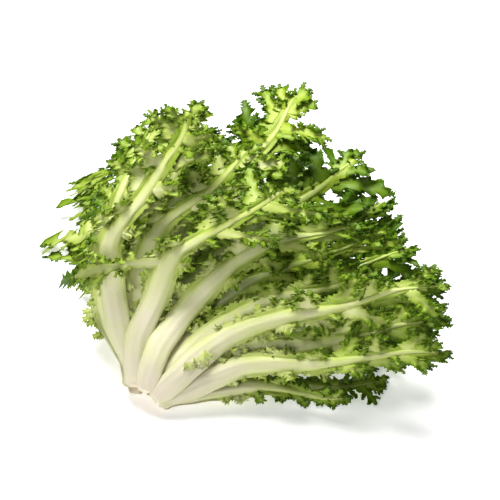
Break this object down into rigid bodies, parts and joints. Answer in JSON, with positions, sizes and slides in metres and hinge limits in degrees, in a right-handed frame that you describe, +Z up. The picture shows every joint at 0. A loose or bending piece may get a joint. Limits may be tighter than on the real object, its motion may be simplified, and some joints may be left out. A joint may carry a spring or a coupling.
{
  "type": "frisee head",
  "caption": "Head of frisee, a curly endive, cut and lying on its side: a short pale stump with a fan of separate narrow leaves that have wide white ribs and toothed, frilly green lobes.",
  "frame": {"origin": "on the surface that the head lies on, below the middle of its bounding box", "axes": "+Z up; +X along the head's long side, to the right where the stump is at the near left; +Y away from the viewer"},
  "size_m": [0.2736, 0.2462, 0.1747],
  "materials": {
    "stump": "moist matte cut stem, cream white",
    "outer_leaf": "soft leaf sheen, white rib shading to mid green frills",
    "inner_leaf": "soft leaf sheen, white rib shading to pale yellow-green frills"
  },
  "bodies": {
    "root": {"crown": "stump", "outer_leaf_01": "outer_leaf", "outer_leaf_02": "outer_leaf", "outer_leaf_03": "outer_leaf", "outer_leaf_04": "outer_leaf", "outer_leaf_05": "outer_leaf", "outer_leaf_06": "outer_leaf", "outer_leaf_07": "outer_leaf", "outer_leaf_08": "outer_leaf", "outer_leaf_09": "outer_leaf", "outer_leaf_10": "outer_leaf", "outer_leaf_11": "outer_leaf", "outer_leaf_12": "outer_leaf", "outer_leaf_13": "outer_leaf", "outer_leaf_14": "outer_leaf", "outer_leaf_15": "outer_leaf", "outer_leaf_16": "outer_leaf", "outer_leaf_17": "outer_leaf", "outer_leaf_18": "outer_leaf", "outer_leaf_19": "outer_leaf", "outer_leaf_20": "outer_leaf", "outer_leaf_21": "outer_leaf", "outer_leaf_22": "outer_leaf", "inner_leaf_01": "inner_leaf", "inner_leaf_02": "inner_leaf", "inner_leaf_03": "inner_leaf", "inner_leaf_04": "inner_leaf", "inner_leaf_05": "inner_leaf", "inner_leaf_06": "inner_leaf", "inner_leaf_07": "inner_leaf", "inner_leaf_08": "inner_leaf", "inner_leaf_09": "inner_leaf", "inner_leaf_10": "inner_leaf", "inner_leaf_11": "inner_leaf", "inner_leaf_12": "inner_leaf"}
  },
  "joints": []
}
